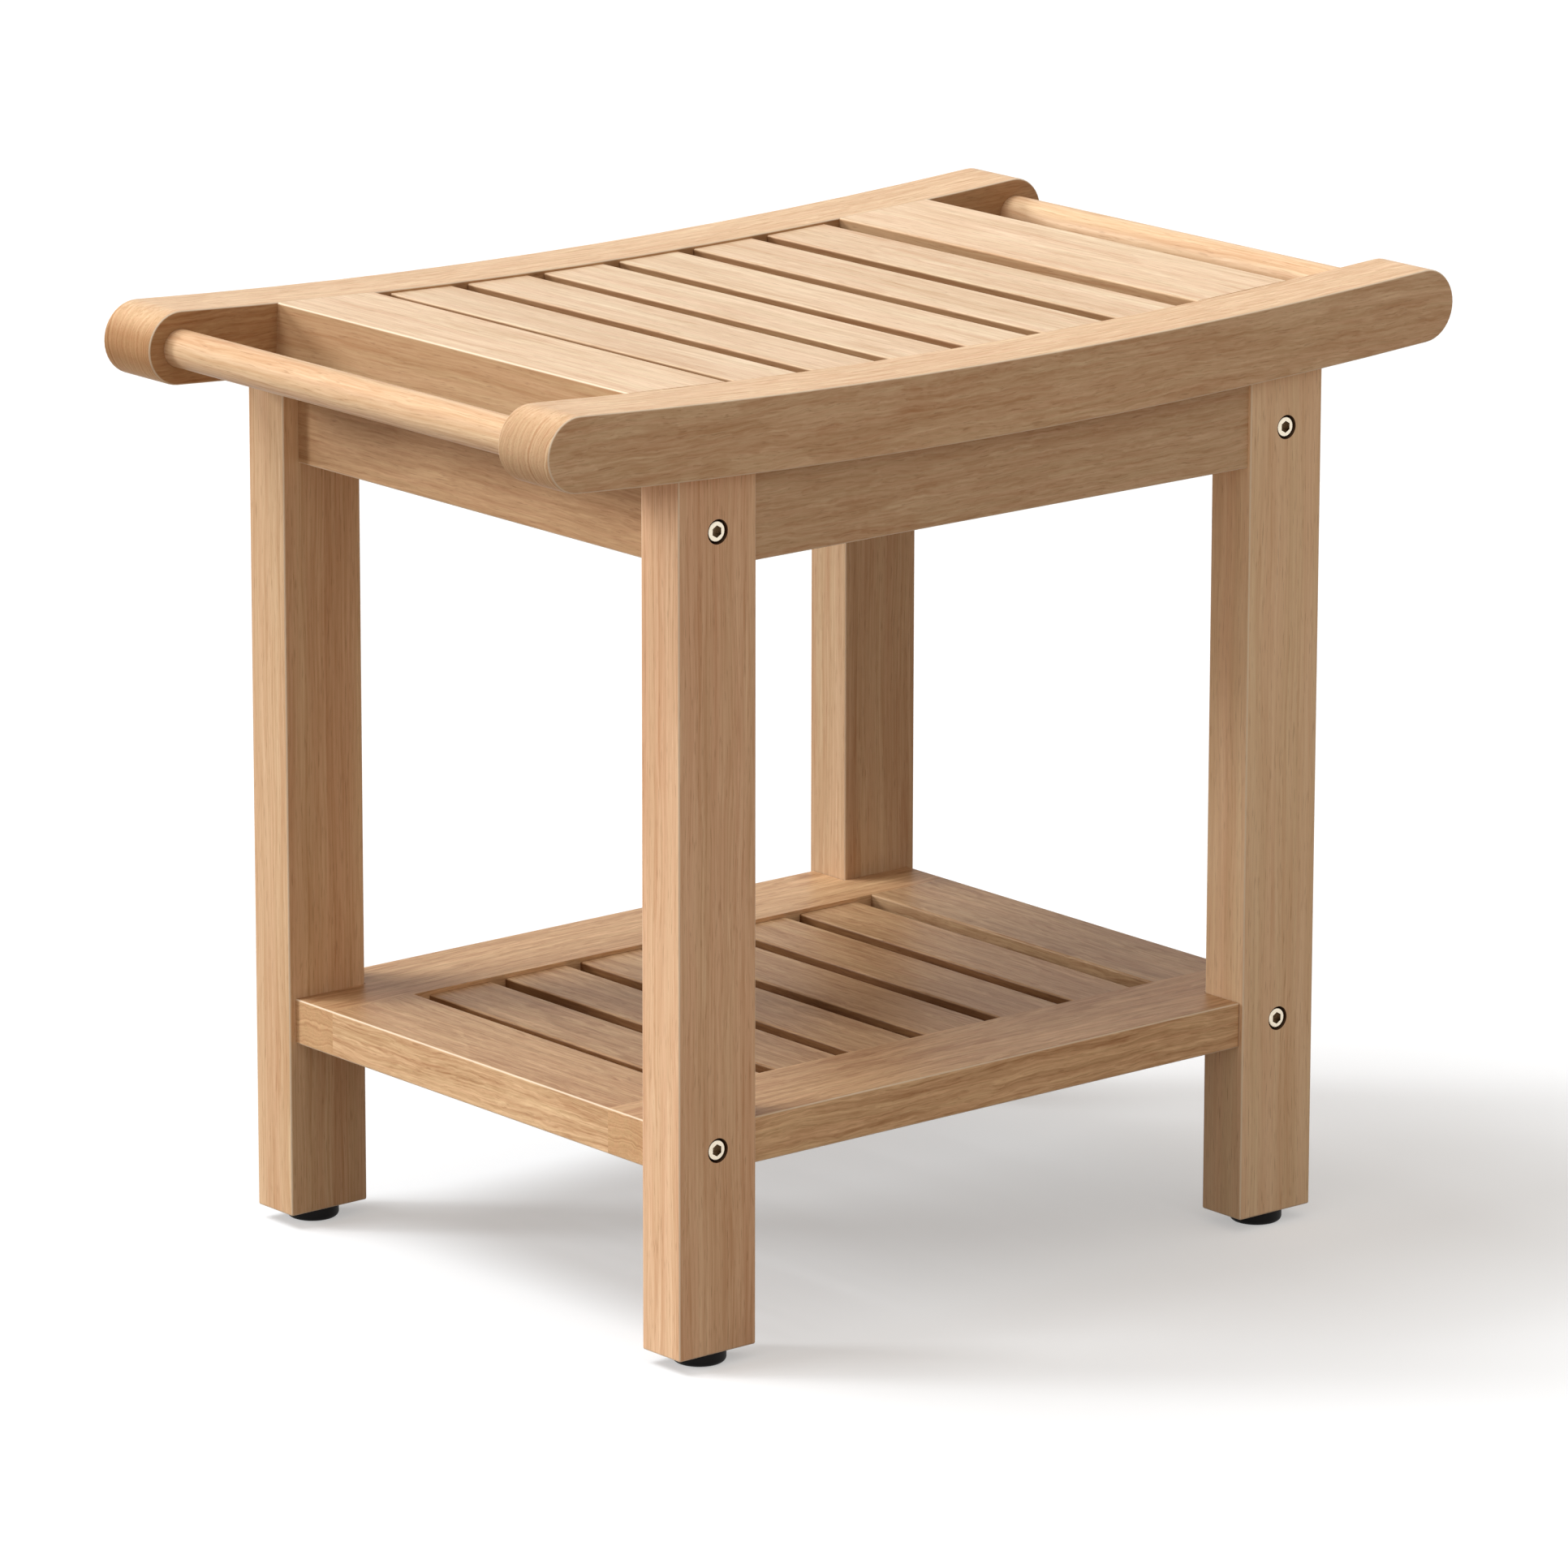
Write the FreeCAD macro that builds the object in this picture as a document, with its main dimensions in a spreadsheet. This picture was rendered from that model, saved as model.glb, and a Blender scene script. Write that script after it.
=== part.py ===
import FreeCAD, Part
import math
import os

import Sketcher

# Slatted shower bench with a shelf, in millimetres.
# X runs along the seat, Y from front to back and Z up; the origin lies on the floor under the middle.

SIZES = [
    ("overall_length", 547, "end to end over the rounded rail ends"),
    ("overall_depth", 332, "front to back over the rails"),
    ("seat_height", 448, "floor to the rails' top edge at mid length"),
    ("ease", 1, "rounding of the boards' long edges"),
    ("fit_gap", 0.1, "clearance round a tenon, dowel or insert"),
    ("running_gap", 0.05, "radial clearance of a turning stem"),
    ("end_gap", 1, "spare depth behind a tenon, dowel, rod or stem"),
    ("rail_radius", 3950, "radius of the rails' dished top edge"),
    ("rail_deep", 35, "height of a rail's section"),
    ("rail_thick", 36, "thickness of a rail"),
    ("rod_diameter", 18, "handle rod"),
    ("rod_socket", 13, "length of rod let into each rail"),
    ("slat_count", 6, "narrow slats in the seat, and in the shelf"),
    ("slat_wide", 37, "narrow seat slat"),
    ("slat_gap", 9, "drain gap between seat slats"),
    ("slat_thick", 19, "narrow seat slat"),
    ("slat_drop", 1.5, "narrow slats below the rails' top edge"),
    ("end_board_wide", 57, "wide board at each end of the seat"),
    ("end_board_thick", 35, "wide board at each end of the seat"),
    ("tenon_long", 10, "seat tenons"),
    ("tenon_thick", 10, "seat tenons"),
    ("tenon_shoulder", 4, "shoulder on each side of a tenon"),
    ("legs_length", 390, "over the legs' outer faces, along X"),
    ("legs_depth", 320, "over the legs' outer faces, along Y"),
    ("leg_wide", 45, "leg section along X"),
    ("leg_thick", 27, "leg section along Y"),
    ("leg_housing", 3, "depth of a leg's top in its rail"),
    ("dowel_diameter", 8, "dowels in the legs' tops"),
    ("dowel_long", 30, "dowels in the legs' tops"),
    ("dowel_rise", 12, "dowel above a leg's top, short of the row of tenons"),
    ("dowel_spacing", 22, "between the two dowels of a leg"),
    ("apron_deep", 39, "long apron below the rail at mid length"),
    ("apron_thick", 20, "long apron"),
    ("apron_inset", 2, "long apron behind the legs' faces"),
    ("apron_tenon_long", 14, "long apron's tenons"),
    ("apron_tenon_thick", 9, "long apron's tenons"),
    ("apron_tenon_tall", 18, "long apron's tenons"),
    ("apron_tenon_rise", 6, "tenon above the apron's lower edge"),
    ("side_apron_thick", 27, "short apron"),
    ("side_apron_inset", 9, "short apron behind the legs' faces"),
    ("side_apron_gap", 0.5, "short apron below the rails and the seat's end board"),
    ("shelf_height", 114, "floor to the shelf's top"),
    ("shelf_thick", 22, "shelf boards"),
    ("shelf_inset_front", 2.5, "shelf behind the legs' faces, along Y"),
    ("shelf_inset_end", 3.5, "shelf behind the legs' faces, along X"),
    ("shelf_leg_gap", 0.5, "between a shelf notch and its leg"),
    ("shelf_board_wide", 53.5, "front and back shelf boards"),
    ("shelf_slat_wide", 37, "shelf slat"),
    ("shelf_slat_gap", 9, "drain gap between shelf slats"),
    ("shelf_slat_thick", 16, "shelf slat"),
    ("shelf_slat_drop", 2, "shelf slats below the shelf boards"),
    ("shelf_tenon_long", 9, "shelf tenons"),
    ("shelf_tenon_thick", 9, "shelf tenons"),
    ("bolt_diameter", 6, "bolt shank"),
    ("bolt_head_diameter", 9.8, "bolt head"),
    ("bolt_head_tall", 6, "bolt head"),
    ("bolt_head_round", 0.8, "rounding of the bolt head's rim"),
    ("bolt_tail", 7, "bolt past its nut's middle"),
    ("bolt_gap", 0.3, "radial clearance of a bolt in wood"),
    ("hex_across", 5, "bolt socket, across the flats"),
    ("hex_deep", 3, "bolt socket"),
    ("counterbore_diameter", 11.4, "recess for a bolt head"),
    ("counterbore_deep", 6.6, "recess for a bolt head"),
    ("upper_bolt_rise", 17, "upper bolts above the aprons' lower edge"),
    ("nut_diameter", 10, "barrel nut"),
    ("upper_nut_long", 15, "barrel nut in a short apron"),
    ("upper_nut_set_back", 28, "barrel nut from the short apron's end"),
    ("lower_nut_long", 13, "barrel nut in a shelf end board"),
    ("lower_nut_set_back", 19, "barrel nut from the shelf end board's shoulder"),
    ("nut_slot_wide", 1.4, "screwdriver slot in a barrel nut"),
    ("nut_slot_deep", 1.5, "screwdriver slot in a barrel nut"),
    ("foot_diameter", 25, "foot pad"),
    ("foot_height", 6.5, "floor to the legs' lower end"),
    ("foot_round", 2.4, "rounding of the pad's lower edge"),
    ("foot_sole", 2, "pad under the stem's flange"),
    ("stem_diameter", 8, "foot stem"),
    ("stem_long", 24, "foot stem inside the leg"),
    ("flange_diameter", 15, "flange at the stem's lower end"),
    ("flange_thick", 2.2, "flange at the stem's lower end"),
    ("insert_diameter", 12, "threaded insert in a leg"),
    ("insert_long", 15, "threaded insert in a leg"),
]

X_AXIS = FreeCAD.Vector(1, 0, 0)
Y_AXIS = FreeCAD.Vector(0, 1, 0)
Z_AXIS = FreeCAD.Vector(0, 0, 1)
SIDES = {"left": -1, "right": 1}
ENDS = {"front": -1, "back": 1}

doc = FreeCAD.newDocument("ShowerBench")
sheet = doc.addObject("Spreadsheet::Sheet", "Dims")
for row, (alias, size, meaning) in enumerate(SIZES, start=1):
    sheet.set(f"A{row}", meaning)
    sheet.set(f"B{row}", str(size))
    sheet.setAlias(f"B{row}", alias)
doc.recompute()

# Places and sizes that several pieces share, as expressions on the sheet.
ARC_CENTRE = "(Dims.seat_height + Dims.rail_radius)"
RAIL_INNER = "(Dims.overall_depth / 2 - Dims.rail_thick)"
RAIL_HUB_X = "(Dims.overall_length / 2 - Dims.rail_deep / 2)"
RAIL_HUB_DROP = f"sqrt((Dims.rail_radius + Dims.rail_deep / 2)^2 - {RAIL_HUB_X}^2)"
LEG_X = "(Dims.legs_length / 2 - Dims.leg_wide / 2)"
LEG_INNER_X = "(Dims.legs_length / 2 - Dims.leg_wide)"
LEG_INNER_Y = "(Dims.legs_depth / 2 - Dims.leg_thick)"
LEG_Y = "(Dims.legs_depth / 2 - Dims.leg_thick / 2)"
DOWEL_Y = f"((max({LEG_INNER_Y}; {RAIL_INNER}) + min(Dims.legs_depth; Dims.overall_depth) / 2) / 2)"
LEG_TOP = (f"({ARC_CENTRE} - sqrt((Dims.rail_radius + Dims.rail_deep)^2 - (Dims.legs_length / 2)^2)"
           " + Dims.leg_housing)")
SLAT_PITCH = "(Dims.slat_wide + Dims.slat_gap)"
SEAT_SLATS_HALF = f"(Dims.slat_count * {SLAT_PITCH} / 2 + Dims.slat_gap / 2)"
TENON_ROW = "(Dims.rail_radius + Dims.slat_drop + Dims.slat_thick / 2)"
END_BOARD_X = f"({SEAT_SLATS_HALF} + Dims.end_board_wide / 2)"
APRON_LOW = "(Dims.seat_height - Dims.rail_deep - Dims.apron_deep)"
APRON_Y = "(Dims.legs_depth / 2 - Dims.apron_inset - Dims.apron_thick / 2)"
SIDE_APRON_X = "(Dims.legs_length / 2 - Dims.side_apron_inset - Dims.side_apron_thick / 2)"
SIDE_APRON_INNER = f"({SIDE_APRON_X} - Dims.side_apron_thick / 2)"
SEAT_FRAME_DEEP = "max(Dims.rail_deep; Dims.end_board_thick)"
SIDE_APRON_TOP = (f"({ARC_CENTRE} - sqrt((Dims.rail_radius + {SEAT_FRAME_DEEP})^2 - {SIDE_APRON_INNER}^2)"
                  " - Dims.side_apron_gap)")
LEG_SHOULDER = (f"({ARC_CENTRE} - sqrt((Dims.rail_radius + {SEAT_FRAME_DEEP})^2 - {LEG_INNER_X}^2)"
                " - Dims.side_apron_gap)")
UPPER_BOLT_Z = f"({APRON_LOW} + Dims.upper_bolt_rise)"
SHELF_LOW = "(Dims.shelf_height - Dims.shelf_thick)"
SHELF_END = "(Dims.legs_length / 2 - Dims.shelf_inset_end)"
SHELF_INNER = "(Dims.legs_depth / 2 - Dims.shelf_inset_front - Dims.shelf_board_wide)"
SHELF_SHOULDER = f"({LEG_INNER_Y} - {SHELF_INNER})"
SHELF_PITCH = "(Dims.shelf_slat_wide + Dims.shelf_slat_gap)"
SHELF_SLATS_HALF = f"(Dims.slat_count * {SHELF_PITCH} / 2 + Dims.shelf_slat_gap / 2)"
SHELF_END_WIDE = f"({SHELF_END} - {SHELF_SLATS_HALF})"
SHELF_END_X = f"({SHELF_END} - {SHELF_END_WIDE} / 2)"
LOWER_BOLT_Z = f"({SHELF_LOW} + Dims.shelf_thick / 2)"
BOLT_SEAT_Y = "(Dims.legs_depth / 2 - Dims.counterbore_deep)"
UPPER_BOLT_LONG = f"({BOLT_SEAT_Y} - {LEG_INNER_Y} + Dims.upper_nut_set_back + Dims.bolt_tail)"
LOWER_BOLT_LONG = f"({BOLT_SEAT_Y} - {SHELF_INNER} + Dims.lower_nut_set_back + Dims.bolt_tail)"
BOLT_HOLE = "(Dims.bolt_diameter / 2 + Dims.bolt_gap)"
NUT_HOLE = "(Dims.nut_diameter / 2 + Dims.fit_gap)"
FLANGE_TOP = "(Dims.foot_sole + Dims.flange_thick)"


def number(expression):
    """Present value of an expression."""
    return float(sheet.evalExpression(expression))


def origin_part(body, role):
    """A body's own origin plane or axis."""
    return next(part for part in body.Origin.OriginFeatures if part.Role == role)


def new_body(label):
    body = doc.addObject("PartDesign::Body", label)
    body.Label = label
    return body


def place(thing, x="0", y="0", z="0", axis=Z_AXIS, angle=0.0):
    """Sets a fixed turn and ties the position to expressions."""
    thing.Placement = FreeCAD.Placement(FreeCAD.Vector(), FreeCAD.Rotation(axis, angle))
    thing.setExpression("Placement.Base.x", x)
    thing.setExpression("Placement.Base.y", y)
    thing.setExpression("Placement.Base.z", z)


def new_sketch(body, label, role, height=None):
    """Sketch on one of the body's origin planes, lifted off it by an expression."""
    sketch = body.newObject("Sketcher::SketchObject", label)
    sketch.AttachmentSupport = [(origin_part(body, role), "")]
    sketch.MapMode = "FlatFace"
    if height:
        sketch.setExpression("AttachmentOffset.Base.z", height)
    return sketch


def tie(sketch, kind, geometry, point, expression):
    """Ties one coordinate of a sketch point to an expression."""
    index = sketch.addConstraint(
        Sketcher.Constraint(kind, -1, 1, geometry, point, number(expression)))
    sketch.setExpression(f"Constraints[{index}]", expression)


def polygon(sketch, points):
    """Closed outline with every corner tied to a pair of expressions."""
    corners = [FreeCAD.Vector(number(x), number(y), 0) for x, y in points]
    count = len(corners)
    for i in range(count):
        sketch.addGeometry(Part.LineSegment(corners[i], corners[(i + 1) % count]))
    for i in range(count):
        sketch.addConstraint(Sketcher.Constraint("Coincident", i, 2, (i + 1) % count, 1))
    for i, (x, y) in enumerate(points):
        tie(sketch, "DistanceX", i, 1, x)
        tie(sketch, "DistanceY", i, 1, y)


def rectangle(sketch, left, right, low, high):
    polygon(sketch, [(left, low), (right, low), (right, high), (left, high)])


def pad(body, sketch, length, side="One side"):
    feature = body.newObject("PartDesign::Pad", f"{sketch.Label}_pad")
    feature.Profile = sketch
    feature.SideType = side
    feature.setExpression("Length", length)
    doc.recompute()
    return feature


def pocket(body, sketch, length, reverse=False):
    """Cuts a sketch into the body and makes sure that something was cut."""
    before = body.Shape.Volume
    feature = body.newObject("PartDesign::Pocket", f"{sketch.Label}_cut")
    feature.Profile = sketch
    feature.Reversed = reverse
    feature.setExpression("Length", length)
    doc.recompute()
    if not body.Shape.Volume < before:
        raise RuntimeError(f"{feature.Label} cuts nothing")
    return feature


def turn(body, sketch):
    """Solid of revolution about the body's Z axis."""
    feature = body.newObject("PartDesign::Revolution", f"{sketch.Label}_turned")
    feature.Profile = sketch
    feature.ReferenceAxis = (origin_part(body, "Z_Axis"), [""])
    feature.Angle = 360
    doc.recompute()
    return feature


def ease_edges(body, feature, wanted, radius="Dims.ease"):
    """Rounds the edges of a feature for which the test is true."""
    names = [f"Edge{i}" for i, edge in enumerate(feature.Shape.Edges, start=1) if wanted(edge)]
    fillet = body.newObject("PartDesign::Fillet", f"{body.Label}_eased")
    fillet.Base = (feature, names)
    fillet.setExpression("Radius", radius)
    doc.recompute()
    return fillet


def runs_along(axis):
    """Test for straight edges parallel to an axis."""
    def test(edge):
        if not isinstance(edge.Curve, Part.Line):
            return False
        return abs(abs(edge.Curve.Direction.dot(axis)) - 1) < 1e-6
    return test


def cut_box(body, label, corner, size, may_miss=False):
    """Square-sided cut from a corner and three sizes, all expressions."""
    before = body.Shape.Volume
    box = body.newObject("PartDesign::SubtractiveBox", f"{body.Label}_{label}")
    place(box, *corner)
    for name, expression in zip(("Length", "Width", "Height"), size):
        box.setExpression(name, expression)
    doc.recompute()
    if not may_miss and not body.Shape.Volume < before:
        raise RuntimeError(f"{box.Label} cuts nothing")
    return box


def drill(body, label, start, along, radius, deep):
    """Round hole from a start point along an axis direction."""
    before = body.Shape.Volume
    hole = body.newObject("PartDesign::SubtractiveCylinder", f"{body.Label}_{label}")
    place(hole, *start)
    hole.Placement = FreeCAD.Placement(FreeCAD.Vector(), FreeCAD.Rotation(Z_AXIS, along))
    hole.setExpression("Radius", radius)
    hole.setExpression("Height", deep)
    doc.recompute()
    if not body.Shape.Volume < before:
        raise RuntimeError(f"{hole.Label} cuts nothing")
    return hole


def mirror(body, original, role):
    """Repeats the newest feature on the far side of one of the body's origin planes."""
    before = body.Shape.Volume
    feature = body.newObject("PartDesign::Mirrored", f"{original.Label}_mirrored")
    feature.Originals = [original]
    feature.MirrorPlane = (origin_part(body, role), [""])
    body.Tip = feature
    doc.recompute()
    if not body.Shape.Volume < before:
        raise RuntimeError(f"{feature.Label} cuts nothing")


def set_angle(thing, path, axis, degrees):
    """Ties a turn about a fixed axis to an expression; the first turn only sets the axis."""
    setattr(thing, path, FreeCAD.Placement(FreeCAD.Vector(), FreeCAD.Rotation(axis, 1.0)))
    thing.setExpression(f"{path}.Rotation.Angle", degrees)


def arc_degrees(distance):
    """Angle at the rails' centre of curvature for a distance along their top edge."""
    return f"({distance}) / Dims.rail_radius * 180 / pi"


def slat_centre(index):
    """Distance of a narrow slat's middle from mid length, in pitches."""
    return index - (int(sheet.slat_count) - 1) / 2


def arc(sketch, centre, radius, start, end):
    circle = Part.Circle(centre, Z_AXIS, radius)
    return sketch.addGeometry(Part.ArcOfCircle(circle, start, end))


def rail_profile(sketch):
    """Strip between two concentric arcs, closed by a half circle at each end."""
    hub_x, hub_drop = number(RAIL_HUB_X), number(RAIL_HUB_DROP)
    lean = math.atan2(hub_x, hub_drop)
    down, up = -math.pi / 2, math.pi / 2
    middle = FreeCAD.Vector()
    end_radius = number("Dims.rail_deep / 2")
    upper = arc(sketch, middle, number("Dims.rail_radius"), down - lean, down + lean)
    lower = arc(sketch, middle, number("Dims.rail_radius + Dims.rail_deep"), down - lean, down + lean)
    right = arc(sketch, FreeCAD.Vector(hub_x, -hub_drop, 0), end_radius, down + lean, up + lean)
    left = arc(sketch, FreeCAD.Vector(-hub_x, -hub_drop, 0), end_radius, up - lean, up + math.pi - lean)
    start, end, centre = 1, 2, 3
    for curve, radius in ((upper, "Dims.rail_radius"), (lower, "Dims.rail_radius + Dims.rail_deep")):
        sketch.addConstraint(Sketcher.Constraint("Coincident", curve, centre, -1, 1))
        index = sketch.addConstraint(Sketcher.Constraint("Radius", curve, number(radius)))
        sketch.setExpression(f"Constraints[{index}]", radius)
    for first, first_end, second, second_end in (
        (lower, end, right, start), (upper, end, right, end),
        (upper, start, left, start), (lower, start, left, end),
    ):
        sketch.addConstraint(Sketcher.Constraint("Tangent", first, first_end, second, second_end))
    tie(sketch, "DistanceX", right, centre, RAIL_HUB_X)
    tie(sketch, "DistanceX", left, centre, f"-{RAIL_HUB_X}")


def seat_mortise(body, label, centre, wide):
    """Mortise for one seat board in a rail's inner face; all lie in one row on the rail's arc."""
    sketch = new_sketch(body, label, "XZ_Plane")
    half = f"({wide} / 2 - Dims.tenon_shoulder + Dims.fit_gap)"
    half_tall = "(Dims.tenon_thick / 2 + Dims.fit_gap)"
    rectangle(sketch, f"-{half}", half, f"-{TENON_ROW} - {half_tall}", f"-{TENON_ROW} + {half_tall}")
    set_angle(sketch, "AttachmentOffset", Z_AXIS, arc_degrees(centre))
    return pocket(body, sketch, "Dims.tenon_long + Dims.end_gap", reverse=True)


def make_rail(label, side):
    """Seat rail; its inner face lies on its own XZ plane and its thickness runs to -Y."""
    body = new_body(label)
    profile = new_sketch(body, f"{label}_profile", "XZ_Plane")
    rail_profile(profile)
    strip = pad(body, profile, "Dims.rail_thick")
    ease_edges(body, strip, lambda edge: not isinstance(edge.Curve, Part.Line))
    first_slat = seat_mortise(body, f"{label}_slat_mortise", f"{SLAT_PITCH} * (Dims.slat_count - 1) / 2",
                              "Dims.slat_wide")
    row = body.newObject("PartDesign::PolarPattern", f"{label}_slat_mortises")
    row.Originals = [first_slat]
    row.Axis = (origin_part(body, "Y_Axis"), [""])
    row.setExpression("Angle", arc_degrees(f"{SLAT_PITCH} * (Dims.slat_count - 1)"))
    row.setExpression("Occurrences", "Dims.slat_count")
    body.Tip = row
    doc.recompute()
    end_board = seat_mortise(body, f"{label}_end_mortise", END_BOARD_X, "Dims.end_board_wide")
    mirror(body, end_board, "YZ_Plane")
    socket = drill(body, "rod_socket", (RAIL_HUB_X, "0", f"-{RAIL_HUB_DROP}"), -Y_AXIS,
                   "Dims.rod_diameter / 2 + Dims.fit_gap", "Dims.rod_socket + Dims.end_gap")
    mirror(body, socket, "YZ_Plane")
    leg_top = f"({LEG_TOP} - {ARC_CENTRE})"
    housing = cut_box(
        body, "leg_housing",
        (f"{LEG_INNER_X} - Dims.fit_gap", f"{RAIL_INNER} - Dims.legs_depth / 2 - Dims.fit_gap",
         f"{leg_top} - Dims.rail_deep"),
        ("Dims.leg_wide + 2 * Dims.fit_gap", "Dims.leg_thick + 2 * Dims.fit_gap", "Dims.rail_deep"))
    mirror(body, housing, "YZ_Plane")
    for name, sign in (("in", -1), ("out", 1)):
        dowel_hole = drill(
            body, f"dowel_hole_{name}",
            (f"{LEG_X} + {sign} * Dims.dowel_spacing / 2", f"{RAIL_INNER} - {DOWEL_Y}", leg_top), Z_AXIS,
            "Dims.dowel_diameter / 2 + Dims.fit_gap", "Dims.dowel_rise + Dims.end_gap")
        mirror(body, dowel_hole, "YZ_Plane")
    place(body, "0", f"{side} * {RAIL_INNER}", ARC_CENTRE, Z_AXIS, 0 if side < 0 else 180)
    return body


def make_seat_board(label, side, centre, wide, thick, drop):
    """Seat slat or end board on the rails' arc, with a tenon at each end."""
    body = new_body(label)
    top, low = f"-(Dims.rail_radius + {drop})", f"-(Dims.rail_radius + {drop} + {thick})"
    section = new_sketch(body, f"{label}_section", "XZ_Plane")
    rectangle(section, f"-{wide} / 2", f"{wide} / 2", low, top)
    board = pad(body, section, f"2 * {RAIL_INNER}", "Symmetric")
    ease_edges(body, board, runs_along(Y_AXIS))
    tenon = new_sketch(body, f"{label}_tenon", "XZ_Plane")
    half = f"({wide} / 2 - Dims.tenon_shoulder)"
    rectangle(tenon, f"-{half}", half, f"-{TENON_ROW} - Dims.tenon_thick / 2",
              f"-{TENON_ROW} + Dims.tenon_thick / 2")
    pad(body, tenon, f"2 * ({RAIL_INNER} + Dims.tenon_long)", "Symmetric")
    set_angle(body, "Placement", Y_AXIS * -side, arc_degrees(centre))
    body.setExpression("Placement.Base.z", ARC_CENTRE)
    return body


def make_rod(label, side):
    """Round handle rod between the rails, on the centre of their rounded ends."""
    rod = doc.addObject("Part::Cylinder", label)
    rod.Label = label
    rod.setExpression("Radius", "Dims.rod_diameter / 2")
    rod.setExpression("Height", f"2 * ({RAIL_INNER} + Dims.rod_socket)")
    place(rod, f"{side} * {RAIL_HUB_X}", f"{RAIL_INNER} + Dims.rod_socket",
          f"{ARC_CENTRE} - {RAIL_HUB_DROP}", X_AXIS, 90)
    return rod


def make_leg(label, side, end):
    """Leg with its bolt, dowel and foot holes and apron mortise; its own Z starts at its lower end."""
    body = new_body(label)
    section = new_sketch(body, f"{label}_section", "XY_Plane")
    rectangle(section, "-Dims.leg_wide / 2", "Dims.leg_wide / 2", "-Dims.leg_thick / 2", "Dims.leg_thick / 2")
    tall = f"({LEG_TOP} - Dims.foot_height)"
    post = pad(body, section, tall)
    along_z = runs_along(Z_AXIS)
    ease_edges(body, post, lambda edge: along_z(edge) or edge.BoundBox.ZMax < 1e-6)
    # A leg that reaches past its rail's inner face stops under the seat's end board.
    past_rail = f"({LEG_Y} - {RAIL_INNER})"
    cut_box(body, "shoulder",
            ("-Dims.leg_wide / 2", past_rail if end < 0 else f"-{LEG_Y}",
             f"{LEG_SHOULDER} - Dims.foot_height"),
            ("Dims.leg_wide", RAIL_INNER, "Dims.rail_deep"), may_miss=True)
    inward = -Y_AXIS * end
    for name, height in (("upper", UPPER_BOLT_Z), ("lower", LOWER_BOLT_Z)):
        start = ("0", f"{end} * Dims.leg_thick / 2", f"{height} - Dims.foot_height")
        drill(body, f"{name}_bolt_hole", start, inward, BOLT_HOLE, "Dims.leg_thick")
        drill(body, f"{name}_counterbore", start, inward, "Dims.counterbore_diameter / 2",
              "Dims.counterbore_deep")
    deep = "(Dims.apron_tenon_long + Dims.end_gap)"
    near = "-Dims.leg_wide / 2" if side > 0 else f"Dims.leg_wide / 2 - {deep}"
    cut_box(body, "apron_mortise",
            (near,
             f"{end} * ({APRON_Y} - {LEG_Y}) - Dims.apron_tenon_thick / 2 - Dims.fit_gap",
             f"{APRON_LOW} + Dims.apron_tenon_rise - Dims.foot_height - Dims.fit_gap"),
            (deep, "Dims.apron_tenon_thick + 2 * Dims.fit_gap", "Dims.apron_tenon_tall + 2 * Dims.fit_gap"))
    for name, sign in (("in", -1), ("out", 1)):
        drill(body, f"dowel_hole_{name}",
              (f"{sign} * Dims.dowel_spacing / 2", f"{end} * ({DOWEL_Y} - {LEG_Y})", tall), -Z_AXIS,
              "Dims.dowel_diameter / 2 + Dims.fit_gap",
              "Dims.dowel_long - Dims.dowel_rise + Dims.end_gap")
    drill(body, "insert_bore", ("0", "0", "0"), Z_AXIS, "Dims.insert_diameter / 2 + Dims.fit_gap",
          "Dims.insert_long")
    drill(body, "stem_bore", ("0", "0", "0"), Z_AXIS, "Dims.stem_diameter / 2 + Dims.fit_gap",
          "Dims.stem_long + Dims.end_gap")
    place(body, f"{side} * {LEG_X}", f"{end} * {LEG_Y}", "Dims.foot_height")
    return body


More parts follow.
